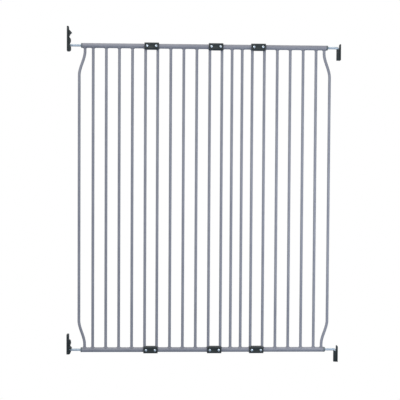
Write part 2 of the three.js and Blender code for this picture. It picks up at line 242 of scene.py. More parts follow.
class Finish:
    """One material: a Principled shader fed by the shared groups."""

    def __init__(self, name):
        self.material = bpy.data.materials.new(name)
        self.material.use_nodes = True
        self.nodes = Nodes(self.material.node_tree)
        self.shader = self.material.node_tree.nodes["Principled BSDF"]
        self.place = self.nodes.add("ShaderNodeTexCoord").outputs["Object"]

    def group(self, tree, **values):
        inputs = {key.replace("_", " "): value for key, value in values.items()}
        inputs["Coordinates"] = values.get("Coordinates", self.place)
        node = self.nodes.add("ShaderNodeGroup", node_tree=tree)
        for key, value in inputs.items():
            self.nodes.feed(node.inputs[key], value)
        return node.outputs

    def stretched(self, x, y, z):
        """Coordinates squeezed along some axes, for streaks that run along the others."""
        return self.nodes.add("ShaderNodeMapping", {"Vector": self.place, "Scale": (x, y, z)}).outputs[0]

    def facing_up(self):
        normal = self.nodes.add("ShaderNodeNewGeometry").outputs["Normal"]
        return self.nodes.add("ShaderNodeSeparateXYZ", {0: normal}).outputs["Z"]

    def between(self, mask, low, high):
        return self.nodes.add("ShaderNodeMapRange", {
            "Value": mask, "To Min": low, "To Max": high,
        }).outputs[0]

    def bump(self, height, distance, strength=1.0):
        node = self.nodes.add("ShaderNodeBump", {
            "Height": height, "Distance": distance, "Strength": strength,
        })
        self.nodes.feed(self.shader.inputs["Normal"], node.outputs[0])

    def set(self, **values):
        for key, value in values.items():
            self.nodes.feed(self.shader.inputs[key.replace("_", " ")], value)


def powder_coat():
    """Satin grey powder coat: orange peel, a slow drift of tone and a little dust."""
    finish = Finish("powder_coat")
    tone = finish.group(
        DRIFT, Patch_Size=0.11, Light_Tone=(0.222, 0.227, 0.259, 1), Dark_Tone=(0.184, 0.189, 0.221, 1),
    )
    dust = finish.group(DUST, Facing_Up=finish.facing_up(), Amount=0.25, Speck_Size=0.006)
    rubbed = finish.group(RUB, Mark_Size=0.035, Coverage=0.06)
    dusty = finish.nodes.colour_mix(dust["Mask"], tone["Color"], (0.40, 0.40, 0.39, 1))
    finish.set(Base_Color=finish.nodes.colour_mix(rubbed["Mask"], dusty, (0.27, 0.275, 0.305, 1)))
    peel = finish.group(GRAIN, Grain_Size=0.0016, Softness=0.7)
    finish.set(Roughness=finish.between(peel["Height"], 0.42, 0.6), Specular_IOR_Level=0.3)
    finish.bump(peel["Height"], 0.00012, 0.5)
    return finish.material


def moulded_plastic(name, light, dark, worn):
    """Moulded plastic: spark-eroded grain, a faint change of tone, dust in the grain, rub marks."""
    finish = Finish(name)
    tone = finish.group(DRIFT, Patch_Size=0.018, Light_Tone=(*light, 1), Dark_Tone=(*dark, 1))
    dust = finish.group(DUST, Facing_Up=finish.facing_up(), Amount=0.3, Speck_Size=0.003)
    rubbed = finish.group(RUB, Mark_Size=0.009, Coverage=0.1)
    dusty = finish.nodes.colour_mix(dust["Mask"], tone["Color"], (0.14, 0.14, 0.135, 1))
    finish.set(Base_Color=finish.nodes.colour_mix(rubbed["Mask"], dusty, (*worn, 1)))
    grain = finish.group(GRAIN, Grain_Size=0.0006, Softness=0.45)
    finish.set(Roughness=finish.between(grain["Height"], 0.42, 0.64), Specular_IOR_Level=0.3)
    finish.bump(grain["Height"], 0.00008, 0.6)
    return finish.material


def zinc(name, streaks, light, dark, metallic, roughness):
    """Zinc plate with fine turning marks across the streaks' axis and a cloudy tone."""
    finish = Finish(name)
    tone = finish.group(DRIFT, Patch_Size=0.006, Light_Tone=(*light, 1), Dark_Tone=(*dark, 1))
    rubbed = finish.group(RUB, Mark_Size=0.004, Coverage=0.12)
    finish.set(
        Base_Color=finish.nodes.colour_mix(rubbed["Mask"], tone["Color"], (0.40, 0.43, 0.45, 1)),
        Metallic=finish.between(rubbed["Mask"], metallic, metallic - 0.2),
        Specular_Tint=(0.6, 0.63, 0.66, 1),
    )
    turned = finish.group(GRAIN, Coordinates=finish.stretched(*streaks), Grain_Size=0.0005, Softness=0.5)
    finish.set(Roughness=finish.between(turned["Height"], roughness, roughness + 0.18))
    finish.bump(turned["Height"], 0.00003, 0.5)
    return finish.material


COAT = powder_coat()
PLASTIC = moulded_plastic(
    "black_plastic", light=(0.021, 0.028, 0.030), dark=(0.011, 0.016, 0.017), worn=(0.040, 0.046, 0.048),
)
GREY_PLASTIC = moulded_plastic(
    "grey_plastic", light=(0.13, 0.155, 0.165), dark=(0.10, 0.120, 0.130), worn=(0.17, 0.185, 0.19),
)
ZINC_ROD = zinc("zinc_rod", (8, 1, 1), (0.47, 0.54, 0.61), (0.36, 0.43, 0.50), 0.55, 0.45)
ZINC_SCREW = zinc("zinc_screw", (1, 8, 1), (0.66, 0.73, 0.79), (0.46, 0.53, 0.59), 0.85, 0.28)


# ------------------------------------------------------------------ mesh helpers

def object_from(mesh, name):
    piece = bpy.data.objects.new(name, mesh)
    bpy.context.scene.collection.objects.link(piece)
    return piece


def mesh_from(build, name):
    """A mesh from a bmesh, with its faces turned outwards; the bmesh is used up."""
    bmesh.ops.recalc_face_normals(build, faces=build.faces)
    mesh = bpy.data.meshes.new(name)
    build.to_mesh(mesh)
    build.free()
    return mesh


def evaluated(piece, name):
    """The plain mesh that an object's modifiers give; the object is thrown away."""
    graph = bpy.context.evaluated_depsgraph_get()
    mesh = bpy.data.meshes.new_from_object(piece.evaluated_get(graph), depsgraph=graph)
    mesh.name = name
    bpy.data.objects.remove(piece)
    return mesh


def finish_piece(mesh, name, material, body, nodes=(), crease=35):
    """Shades, paints and places one finished piece, and hides the imported parts it stands for."""
    mesh.materials.clear()
    mesh.materials.append(material)
    mesh.polygons.foreach_set("use_smooth", [True] * len(mesh.polygons))
    mesh.set_sharp_from_angle(angle=math.radians(crease))
    piece = object_from(mesh, name)
    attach(piece, body)
    if nodes:
        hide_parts(*nodes)
    return piece


def joined(*meshes):
    """One mesh out of several, each keeping its own place."""
    build = bmesh.new()
    for mesh in meshes:
        build.from_mesh(mesh)
    result = bpy.data.meshes.new(meshes[0].name)
    build.to_mesh(result)
    build.free()
    return result


def ring_skin(build, rings, closed_ends=True):
    """Skins rings of points, each as long as the next, into a tube; the ends may be capped."""
    loops = [[build.verts.new(point) for point in ring] for ring in rings]
    for here, there in zip(loops, loops[1:]):
        for i in range(len(here)):
            j = (i + 1) % len(here)
            build.faces.new((here[i], here[j], there[j], there[i]))
    if closed_ends:
        build.faces.new(loops[0])
        build.faces.new(loops[-1])
    return build


def turned(profile, sides, name, along="x", centre=(0, 0, 0), closed=False):
    """A lathe-turned piece: (radius, distance) points, skinned about one axis.

    A closed profile makes a hollow piece; an open one is capped at both ends.
    """
    x, y, z = Matrix.Identity(3)
    first, second, axis = {"x": (y, z, x), "y": (z, x, y), "z": (x, y, z)}[along]
    centre = Vector(centre)
    rings = []
    for radius, distance in profile:
        rings.append([
            centre + axis * distance
            + radius * (math.cos(a) * first + math.sin(a) * second)
            for a in (2 * math.pi * i / sides for i in range(sides))
        ])
    if closed:
        rings.append(rings[0])
    build = ring_skin(bmesh.new(), rings, closed_ends=not closed)
    if closed:
        bmesh.ops.remove_doubles(build, verts=build.verts, dist=1e-7)
    return mesh_from(build, name)


def swept(points, radius, sides, name):
    """A round bar along points in an XZ plane."""
    across = Vector((0, 1, 0))
    rings = []
    for i, point in enumerate(points):
        before = points[max(i - 1, 0)]
        after = points[min(i + 1, len(points) - 1)]
        normal = (after - before).normalized().cross(across)
        rings.append([
            point + radius * (math.cos(a) * across + math.sin(a) * normal)
            for a in (2 * math.pi * j / sides for j in range(sides))
        ])
    return mesh_from(ring_skin(bmesh.new(), rings), name)


def arc(x, y, radius, start, end, steps=8):
    """Points round part of a circle, in degrees."""
    angles = [math.radians(start + (end - start) * i / steps) for i in range(steps + 1)]
    return [(x + radius * math.cos(a), y + radius * math.sin(a)) for a in angles]


def rounded_outline(width, height, corner, steps=8):
    w, h = width / 2 - corner, height / 2 - corner
    return (arc(w, -h, corner, -90, 0, steps) + arc(w, h, corner, 0, 90, steps)
            + arc(-w, h, corner, 90, 180, steps) + arc(-w, -h, corner, 180, 270, steps))


def prism(outline, low, high, place, name="prism"):
    """An outline given thickness; place turns (outline x, outline y, distance) into a point."""
    rings = [[Vector(place(x, y, d)) for x, y in outline] for d in (low, high)]
    return mesh_from(ring_skin(bmesh.new(), rings), name)


def carved(base, adding=(), cutting=()):
    """Booleans on a mesh, one tool at a time, with the exact solver."""
    piece = object_from(base, "carving")
    tools = []
    for operation, meshes in (("UNION", adding), ("DIFFERENCE", cutting)):
        for mesh in meshes:
            tool = object_from(mesh, "tool")
            tools.append(tool)
            modifier = piece.modifiers.new("boolean", "BOOLEAN")
            modifier.operation = operation
            modifier.solver = "EXACT"
            modifier.object = tool
    mesh = evaluated(piece, base.name)
    for tool in tools:
        bpy.data.objects.remove(tool)
    return mesh


def softened(mesh, width, segments=3, angle=30):
    """Rounds the edges that a mould or a tool would round."""
    build = bmesh.new()
    build.from_mesh(mesh)
    bmesh.ops.remove_doubles(build, verts=build.verts, dist=1e-6)
    bmesh.ops.dissolve_limit(build, angle_limit=math.radians(0.5), verts=build.verts, edges=build.edges)
    clean = bpy.data.meshes.new(mesh.name)
    build.to_mesh(clean)
    build.free()
    piece = object_from(clean, "softening")
    bevel = piece.modifiers.new("bevel", "BEVEL")
    bevel.width = width
    bevel.segments = segments
    bevel.limit_method = "ANGLE"
    bevel.angle_limit = math.radians(angle)
    return evaluated(piece, mesh.name)


# ------------------------------------------------------------------ geometry trees

def points_mesh(points):
    mesh = bpy.data.meshes.new("marks")
    mesh.from_pydata([tuple(point) for point in points], [], [])
    return mesh


def grown(tree, points, name, **settings):
    """The plain mesh that a tree grows on a set of marks."""
    carrier = object_from(points_mesh(points), name)
    modifier = carrier.modifiers.new(name, "NODES")
    modifier.node_group = tree
    for item in tree.interface.items_tree:
        if item.in_out == "INPUT" and item.name.replace(" ", "_") in settings:
            modifier[item.identifier] = settings[item.name.replace(" ", "_")]
    return evaluated(carrier, name)


def copies_on_marks(nodes, given, result, piece, rotation=Euler((0, 0, 0))):
    """Ends a tree: a copy of the piece on each mark, made real and painted."""
    spots = nodes.add("GeometryNodeMeshToPoints", {"Mesh": given["Marks"]})
    copies = nodes.add("GeometryNodeInstanceOnPoints", {
        "Points": spots.outputs[0], "Instance": piece, "Rotation": rotation,
    })
    real = nodes.add("GeometryNodeRealizeInstances", {0: copies.outputs[0]})
    painted = nodes.add("GeometryNodeSetMaterial", {
        "Geometry": real.outputs[0], "Material": given["Material"],
    })
    nodes.feed(result["Geometry"], painted.outputs[0])
    return nodes.tree


def bars_tree():
    """Round bars of one length, standing on marks at their middles."""
    nodes, given, result = new_group(
        "bars_on_marks", "GeometryNodeTree",
        {"Marks": "geometry", "Radius": "number", "Length": "number", "Material": "material"},
        {"Geometry": "geometry"},
    )
    bar = nodes.add("GeometryNodeMeshCylinder", {
        "Vertices": 40, "Side Segments": 12, "Radius": given["Radius"], "Depth": given["Length"],
    })
    return copies_on_marks(nodes, given, result, bar.outputs[0])


def weld_tree():
    """A weld bead round the foot of each bar, lying on the round rail under it.

    The bead's ring follows the saddle where a bar meets a rail; its thickness ripples.
    """
    nodes, given, result = new_group(
        "weld_beads", "GeometryNodeTree",
        {"Marks": "geometry", "Bar Radius": "number", "Rail Radius": "number", "Bead Radius": "number",
         "Turn": "number", "Ripples": "number", "Material": "material"},
        {"Geometry": "geometry"},
    )
    ring = nodes.add("GeometryNodeCurvePrimitiveCircle", {
        "Resolution": 56,
        "Radius": nodes.math("ADD", given["Bar Radius"], nodes.math("MULTIPLY", given["Bead Radius"], 0.1)),
    })
    spot = nodes.add("ShaderNodeSeparateXYZ", {0: nodes.add("GeometryNodeInputPosition").outputs[0]})
    y_squared = nodes.math("MULTIPLY", spot.outputs["Y"], spot.outputs["Y"])
    rail_squared = nodes.math("MULTIPLY", given["Rail Radius"], given["Rail Radius"])
    height = nodes.math("SQRT", nodes.math("SUBTRACT", rail_squared, y_squared))
    drop = nodes.math("SUBTRACT", height, given["Rail Radius"])
    saddle = nodes.add("GeometryNodeSetPosition", {
        "Geometry": ring.outputs[0],
        "Offset": nodes.add("ShaderNodeCombineXYZ", {"Z": drop}).outputs[0],
    })
    angle = nodes.math("ARCTAN2", spot.outputs["Y"], spot.outputs["X"])
    wave = nodes.math("SINE", nodes.math("MULTIPLY", angle, given["Ripples"]))
    swell = nodes.math("ADD", 1.0, nodes.math("MULTIPLY", wave, 0.07))
    section = nodes.add("GeometryNodeCurvePrimitiveCircle", {
        "Resolution": 10, "Radius": given["Bead Radius"],
    })
    flared = nodes.add("GeometryNodeTransform", {
        "Geometry": section.outputs[0], "Scale": (1.5, 1.0, 1.0),
    })
    bead = nodes.add("GeometryNodeCurveToMesh", {
        "Curve": saddle.outputs[0], "Profile Curve": flared.outputs[0], "Scale": swell,
    })
    turn = nodes.add("ShaderNodeCombineXYZ", {"X": given["Turn"]})
    return copies_on_marks(nodes, given, result, bead.outputs[0], turn.outputs[0])


def screws_tree():
    """Copies of one screw on marks, each stopped at a turn of its own about its axis."""
    nodes, given, result = new_group(
        "screws_on_marks", "GeometryNodeTree",
        {"Marks": "geometry", "Screw": "object", "Seed": "whole", "Material": "material"},
        {"Geometry": "geometry"},
    )
    screw = nodes.add("GeometryNodeObjectInfo", {"Object": given["Screw"]})
    angle = nodes.add("FunctionNodeRandomValue", {3: math.pi, "Seed": given["Seed"]}, data_type="FLOAT")
    turn = nodes.add("ShaderNodeCombineXYZ", {"Y": angle.outputs[1]})
    return copies_on_marks(nodes, given, result, screw.outputs["Geometry"], turn.outputs[0])


def thread_tree():
    """Threaded rods along X, centred on marks: a rod whose rings rise and fall with the thread."""
    nodes, given, result = new_group(
        "threaded_rods", "GeometryNodeTree",
        {"Marks": "geometry", "Radius": "number", "Length": "number", "Pitch": "number",
         "Depth": "number", "Chamfer": "number", "Rings Per Turn": "number", "Material": "material"},
        {"Geometry": "geometry"},
    )
    turns = nodes.math("DIVIDE", given["Length"], given["Pitch"])
    rings = nodes.math("ROUND", nodes.math("MULTIPLY", turns, given["Rings Per Turn"]))
    rod = nodes.add("GeometryNodeMeshCylinder", {
        "Vertices": 20, "Side Segments": rings, "Radius": given["Radius"], "Depth": given["Length"],
    })
    position = nodes.add("GeometryNodeInputPosition").outputs[0]
    spot = nodes.add("ShaderNodeSeparateXYZ", {0: position})
    angle = nodes.math("DIVIDE", nodes.math("ARCTAN2", spot.outputs["Y"], spot.outputs["X"]), 2 * math.pi)
    phase = nodes.math("SUBTRACT", nodes.math("DIVIDE", spot.outputs["Z"], given["Pitch"]), angle)
    form = nodes.math("PINGPONG", phase, 0.5)
    groove = nodes.math("MULTIPLY", nodes.math("MULTIPLY", form, 2.0), given["Depth"])
    cut_radius = nodes.math("SUBTRACT", given["Radius"], groove)
    half = nodes.math("MULTIPLY", given["Length"], 0.5)
    from_end = nodes.math("SUBTRACT", half, nodes.math("ABSOLUTE", spot.outputs["Z"]))
    tapered = nodes.math("ADD", nodes.math("SUBTRACT", given["Radius"], given["Chamfer"]), from_end)
    radius = nodes.math("MINIMUM", cut_radius, tapered)
    factor = nodes.math("DIVIDE", radius, given["Radius"])
    shrunk = nodes.add("ShaderNodeVectorMath", {
        0: position, 1: nodes.add("ShaderNodeCombineXYZ", {"X": factor, "Y": factor, "Z": 1.0}).outputs[0],
    }, operation="MULTIPLY")
    threaded = nodes.add("GeometryNodeSetPosition", {
        "Geometry": rod.outputs[0], "Position": shrunk.outputs[0],
    })
    laid = nodes.add("GeometryNodeTransform", {
        "Geometry": threaded.outputs[0], "Rotation": Euler((0, math.pi / 2, 0)),
    })
    return copies_on_marks(nodes, given, result, laid.outputs[0])


# ------------------------------------------------------------------ rails

RAIL_SIDES = 48
RAIL_WALL = 1.2 * MM
RAIL_LIP = 0.35 * MM


def rail(level, panel):
    node = f"rail_{level}_{panel}"
    low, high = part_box(node)
    inner = RAIL_RADIUS - RAIL_WALL
    profile = [
        (RAIL_RADIUS - RAIL_LIP, low.x), (RAIL_RADIUS, low.x + RAIL_LIP),
        (RAIL_RADIUS, high.x - RAIL_LIP), (RAIL_RADIUS - RAIL_LIP, high.x),
        (inner, high.x), (inner, low.x),
    ]
    mesh = turned(profile, RAIL_SIDES, node, centre=(0, 0, RAIL_Z[level]), closed=True)
    finish_piece(mesh, f"{level}_rail_{panel}", COAT, "gate", [node])


# ------------------------------------------------------------------ bars and stiles

BAR_BITE = 1.5 * MM              # how far a bar's end reaches past the crown of the rail
BEAD_RADIUS = 1.6 * MM


def bar_names(panel):
    return [f"bar_{panel}{i + 1}" for i in range(PANEL_BARS[panel])]


def bar_length():
    return RAIL_Z["top"] - RAIL_Z["bottom"] - 2 * (RAIL_RADIUS - BAR_BITE)


def bars(tree, panel):
    names = bar_names(panel)
    mesh = grown(tree, [middle(name) for name in names], f"bars_{panel}",
                 Radius=BAR_RADIUS, Length=bar_length(), Material=COAT)
    finish_piece(mesh, f"bars_{panel}", COAT, "gate", names)


def welds(tree, level):
    """Weld beads on one rail, under every bar and stile."""
    inward = 1 if level == "bottom" else -1
    feet = [middle(name).x for panel in PANEL_BARS for name in bar_names(panel)]
    feet += STILE_FOOT.values()
    crown = RAIL_Z[level] + inward * RAIL_RADIUS
    mesh = grown(tree, [(x, 0, crown) for x in feet], f"welds_{level}",
                 Bar_Radius=BAR_RADIUS, Rail_Radius=RAIL_RADIUS, Bead_Radius=BEAD_RADIUS,
                 Turn=0.0 if inward > 0 else math.pi, Ripples=11.0, Material=COAT)
    finish_piece(mesh, f"weld_beads_{level}", COAT, "gate", crease=60)


BOW_START = 18 * MM
BOW_END = 96 * MM
BEND_STEPS = 28


def stile(name, side):
    """A bar that runs straight out of each rail and bows outwards between them."""
    reach = RAIL_RADIUS - BAR_BITE

    def bowed(rise):
        share = min(max((rise - BOW_START) / (BOW_END - BOW_START), 0), 1)
        return STILE_FOOT[name] + side * STILE_BOW * share * share * (3 - 2 * share)

    rises = [reach] + [BOW_START + (BOW_END - BOW_START) * i / BEND_STEPS for i in range(BEND_STEPS + 1)]
    lower = [Vector((bowed(rise), 0, RAIL_Z["bottom"] + rise)) for rise in rises]
    upper = [Vector((bowed(rise), 0, RAIL_Z["top"] - rise)) for rise in reversed(rises)]
    mesh = swept(lower + upper, BAR_RADIUS, 40, name)
    finish_piece(mesh, name.replace("stile", "curved_stile"), COAT, "gate", [name])


# ------------------------------------------------------------------ clips and screws

CLIP_CORNER = 4 * MM
CLIP_EDGE = 0.6 * MM
RAIL_CLEARANCE = 0.3 * MM
COUNTERBORE_RADIUS = 4.7 * MM
COUNTERBORE_DEPTH = 0.5 * MM
SCREW_SEAT = 0.3 * MM


def along_x(x, y, distance):
    return (distance, x, y)


def clip(level, number):
    """A sleeve round two rail ends, slotted for the bars beside them."""
    node = f"clip_{level}_{number}"
    centre = middle(node)
    inward = 1 if level == "bottom" else -1
    half = CLIP_SIZE.x / 2
    outline = [(y, z + centre.z) for y, z in rounded_outline(CLIP_SIZE.y, CLIP_SIZE.z, CLIP_CORNER)]
    body = prism(outline, centre.x - half, centre.x + half, along_x, node)
    bore = RAIL_RADIUS + RAIL_CLEARANCE
    cuts = [turned([(bore, centre.x - half - MM), (bore, centre.x + half + MM)], 64, "bore",
                   centre=(0, 0, centre.z))]
    slot_half = BAR_RADIUS + RAIL_CLEARANCE
    for side, spot in ((-1, "left"), (1, "right")):
        screw = middle(f"clip_screw_{level}_{number}_{spot}")
        face = centre.y - CLIP_SIZE.y / 2
        cuts.append(turned([(COUNTERBORE_RADIUS, face - MM), (COUNTERBORE_RADIUS, face + COUNTERBORE_DEPTH)],
                           40, "counterbore", along="y", centre=(screw.x, 0, screw.z)))
        bar_x = nearest_bar(centre.x + side * half)
        slot = arc(bar_x, 0, slot_half, 90, 270, 16) if side > 0 else arc(bar_x, 0, slot_half, -90, 90, 16)
        end = centre.x + side * (half + MM)
        slot += [(end, -slot_half), (end, slot_half)] if side > 0 else [(end, slot_half), (end, -slot_half)]
        low, high = sorted((centre.z, centre.z + inward * CLIP_SIZE.z))
        cuts.append(prism(slot, low, high, lambda x, y, d: (x, y, d), "slot"))
    mesh = softened(carved(body, cutting=cuts), CLIP_EDGE, 2)
    finish_piece(mesh, f"sleeve_{level}_{number}", PLASTIC, "gate", [node])


def nearest_bar(x):
    places = [middle(name).x for panel in PANEL_BARS for name in bar_names(panel)]
    return min(places, key=lambda place: abs(place - x))


def screw_mesh():
    """A pan-head screw with a cross recess, its head's underside at y = 0, pointing along +Y."""
    low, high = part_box("clip_screw_top_1_left")
    head = size("clip_screw_top_1_left").z / 2
    seat = middle("clip_top_1").y - CLIP_SIZE.y / 2 - SCREW_SEAT
    height = seat - low.y
    shank = 2 * MM
    crown = [(head * math.cos(a), -height * (0.35 + 0.65 * math.sin(a)))
             for a in (math.pi / 2 * i / 8 for i in range(8))]
    profile = [(shank * 0.5, high.y - seat), (shank, high.y - seat - MM), (shank, 0.0)]
    profile += [(head - 0.3 * MM, 0.0), (head, -0.25 * MM)] + crown + [(0.35 * MM, -height)]
    body = turned(profile, 40, "screw", along="y")
    arm, depth, width = head * 0.62, height * 0.75, 0.62 * MM
    recess = []
    for across in (0, 1):
        wide, narrow = (arm, width) if across else (width, arm)
        corners = [(-wide, -narrow), (wide, -narrow), (wide, narrow), (-wide, narrow)]
        recess.append(prism(corners, -height - MM, -height + depth, lambda x, y, d: (x, d, y), "recess"))
    return softened(carved(body, cutting=recess), 0.12 * MM, 2, 40), seat


def screws(tree):
    mesh, seat = screw_mesh()
    pattern = object_from(mesh, "screw_pattern")
    names = [f"clip_screw_{level}_{number}_{side}"
             for level in LEVELS for number in (1, 2, 3) for side in ("left", "right")]
    marks = [(middle(name).x, seat, middle(name).z) for name in names]
    grown_mesh = grown(tree, marks, "clip_screws", Screw=pattern, Seed=7, Material=ZINC_SCREW)
    bpy.data.objects.remove(pattern)
    finish_piece(grown_mesh, "clip_screws", ZINC_SCREW, "gate", names)


# ------------------------------------------------------------------ end plugs

def end_plug(level, side, flange, dome):
    """A flanged plug with a bore for the pin; its face is rounded by the dome's radius."""
    node = f"end_plug_{level}_{side}"
    low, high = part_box(node)
    sign = 1 if side == "right" else -1
    face = high.x if sign > 0 else low.x
    inner_end = low.x if sign > 0 else high.x
    radius = size(node).z / 2
    bore = PIN_RADIUS + 0.3 * MM
    insert = RAIL_RADIUS - RAIL_WALL - 0.3 * MM
    shoulder = face - sign * flange
    curve = [(radius - dome + dome * math.cos(a), face - sign * dome * (1 - math.sin(a)))
             for a in (math.pi / 2 * i / 8 for i in range(9))]
    lead_in = 0.5 * MM
    profile = [(insert, inner_end), (insert, shoulder), (radius - 0.3 * MM, shoulder),
               (radius, shoulder + sign * 0.3 * MM)] + curve + [
        (bore + lead_in, face), (bore, face - sign * lead_in), (bore, inner_end)]
    mesh = turned(profile, 48, node, centre=(0, 0, RAIL_Z[level]), closed=True)
    finish_piece(mesh, f"rail_plug_{level}_{side}", GREY_PLASTIC, "gate", [node])


# ------------------------------------------------------------------ pins

PITCH = 1.25 * MM
THREAD_DEPTH = 0.32 * MM


def latch_pin(tree, level, body):
    node = f"latch_pin_{level}"
    mesh = grown(tree, [middle(node)], node, Radius=PIN_RADIUS, Length=size(node).x, Pitch=PITCH,
                 Depth=THREAD_DEPTH, Chamfer=1.2 * MM, Rings_Per_Turn=6.0, Material=ZINC_ROD)
    finish_piece(mesh, f"threaded_pin_{level}", ZINC_ROD, body, [node], crease=80)


def hinge_pin(tree, level):
    """Threaded where it screws into the rail's plug, then bent down into a smooth peg."""
    node = f"hinge_pin_{level}"
    low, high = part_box(node)
    z = RAIL_Z[level]
    bend = 5 * MM
    thread_end = PEG_X - bend - 2.5 * MM
    length = thread_end - low.x
    thread = grown(tree, [(low.x + length / 2, 0, z)], node, Radius=PIN_RADIUS, Length=length, Pitch=PITCH,
                   Depth=THREAD_DEPTH, Chamfer=0.6 * MM, Rings_Per_Turn=6.0, Material=ZINC_ROD)
    path = [Vector((thread_end - MM, 0, z)), Vector((PEG_X - bend, 0, z))]
    path += [Vector((x, 0, y)) for x, y in arc(PEG_X - bend, z - bend, bend, 90, 0, 12)[1:]]
    path += [Vector((PEG_X, 0, low.z + MM)), Vector((PEG_X, 0, low.z))]
    arm = swept(path, PIN_RADIUS, 32, "arm")
    finish_piece(joined(thread, arm), f"hinge_peg_{level}", ZINC_ROD, "hinge_pins",
                 [node], crease=80)


# ------------------------------------------------------------------ wall brackets

# Drawn in millimetres: x is the reach from the wall, z = 0 lies on the pin's axis.

GAP = 0.3                        # clearance between neighbouring pieces
UPPER = {"plate": 5.4, "bottom": -18.8, "reach": 11.8, "corner": 6.5, "holes": (54.8, 0.6)}
LOWER = {"plate": 6.8, "bottom": -13.4, "reach": 12.6, "corner": 5.5, "holes": (42, 0)}
PLATE_ARCH = 5
PLATE_FOOT = 3
RIM = 1.4                        # rounding of the latch plates' front rims
MOULD_EDGE = 0.7                 # rounding of their other edges
HINGE_PLATE = 2.5
HINGE_RIM = 1.0
HINGE_EDGE = 0.5
HINGE_HOLE = {"radius": 1.9, "sink": 2.9}
HINGE_HOLE_SIDE = 9.6
HINGE_HOLE_Z = -22
LATCH_HOLE = {"radius": 2.3, "sink": 3.8}
CRADLE_HALF = 12
CRADLE_FLOOR = -4.3
LIP_INNER = 4.4
LIP_TOP = 4                      # at the plate; it slopes down to its front
LIP_FRONT = -2.5
LOCK_HALF = 9
LOCK_EDGE = 0.45
NECK_HALF = 4.7                  # the lock's neck slides in the plate's slot
NECK_BOTTOM = 8
NECK_TOP = 42
SLOT_HALF = 5
SLOT_BOTTOM = 7
SLOT_TOP = 49
RECESS_DEPTH = 1.7               # behind the plate, for the lock's flange
STALK_REACH = 7.8
STALK_TOP = 10
NOSE_REACH = 11.5
NOSE_TOP = 3.4
NOSE_BOTTOM = -2.2
GROOVE_RADIUS = 0.55
GROOVE_MARGIN = 1.5
SOCKET_TOP = -4.3
SOCKET_RADIUS = 6.4
SOCKET_REACH = 13
SOCKET_BORE_X = 7.2
SOCKET_DEPTH = 32


def side_view(x, z, distance):
    return (x, distance, z)


def front_view(y, z, distance):
    return (distance, y, z)


def top_view(x, y, distance):
    return (x, y, distance)


def rectangle(width, low, high):
    return [(-width, low), (width, low), (width, high), (-width, high)]


def curve(start, control, end, steps=10):
    """Points after the start of a quadratic curve, up to its end."""
    a, b, c = Vector(start), Vector(control), Vector(end)
    spread = [i / steps for i in range(1, steps + 1)]
    return [tuple((1 - t) * (1 - t) * a + 2 * t * (1 - t) * b + t * t * c) for t in spread]


def plate(node, bottom, thickness, rim):
    """A wall plate with rounded corners and a rounded front rim."""
    level = "top" if node.endswith("top") else "bottom"
    top = (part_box(node)[1].z - RAIL_Z[level]) / MM
    half = size(node).y / MM / 2

    def ring(inset, distance):
        foot, arch = PLATE_FOOT - inset, PLATE_ARCH - inset
        w, low, high = half - inset, bottom + inset, top - inset
        outline = arc(w - foot, low + foot, foot, -90, 0) + arc(w - arch, high - arch, arch, 0, 90)
        outline += arc(arch - w, high - arch, arch, 90, 180) + arc(foot - w, low + foot, foot, 180, 270)
        return [Vector(front_view(y, z, distance)) for y, z in outline]

    angles = [math.pi / 2 * i / 6 for i in range(7)]
    rounding = [ring(rim * (1 - math.cos(a)), thickness - rim + rim * math.sin(a)) for a in angles]
    return mesh_from(ring_skin(bmesh.new(), [ring(0.3, 0), ring(0, 0.3)] + rounding), "plate")


def screw_hole(thickness, y, z, radius, sink):
    profile = [(radius, -1), (radius, thickness + radius - sink), (sink, thickness), (sink, thickness + 1)]
    return turned(profile, 48, "hole", centre=(0, y, z))


def cradle(bracket):
    """A floor under the pin and a lip in front of it."""
    reach, corner, bottom = bracket["reach"], bracket["corner"], bracket["bottom"]

    def outline(top_edge):
        under = arc(reach - corner, bottom + corner, corner, -90, 0, 10)
        return [(1, bottom)] + under + top_edge + [(1, top_edge[-1][1])]

    lip = outline([(reach, LIP_FRONT), (bracket["plate"], LIP_TOP)])
    floor = outline([(reach, CRADLE_FLOOR)])
    return [
        prism(lip, -CRADLE_HALF, -LIP_INNER, side_view, "lip"),
        prism(floor, -CRADLE_HALF, CRADLE_HALF, side_view, "floor"),
    ]


def at_wall(mesh, level, side):
    """From millimetres at the wall to metres in the gate's frame."""
    turn = Matrix.Rotation(math.pi, 4, "Z") if side > 0 else Matrix.Identity(4)
    place = Matrix.Translation((side * WALL_X, 0, RAIL_Z[level]))
    mesh.transform(place @ turn @ Matrix.Scale(MM, 4))
    return mesh


def latch_bracket(level, bracket, adding, cuts):
    """A plate, its cradle and its screw holes, with what else this bracket adds and cuts."""
    node = f"latch_bracket_{level}"
    body = plate(node, bracket["bottom"], bracket["plate"], RIM)
    holes = [screw_hole(bracket["plate"], 0, z, **LATCH_HOLE) for z in bracket["holes"]]
    mesh = softened(carved(body, cradle(bracket) + adding, cuts + holes), MOULD_EDGE)
    name = {"top": "upper", "bottom": "lower"}[level]
    finish_piece(at_wall(mesh, level, -1), f"{name}_latch_bracket", PLASTIC,
                 "wall_brackets", [node])


def upper_latch_bracket():
    """Its slot and the recess behind it take the lock."""
    recess = prism(rectangle(LOCK_HALF, SLOT_BOTTOM, SLOT_TOP), -1, RECESS_DEPTH, front_view, "recess")
    slot = prism(rectangle(SLOT_HALF, SLOT_BOTTOM, SLOT_TOP), -1, UPPER["plate"] + 1, front_view, "slot")
    latch_bracket("top", UPPER, [], [recess, slot])


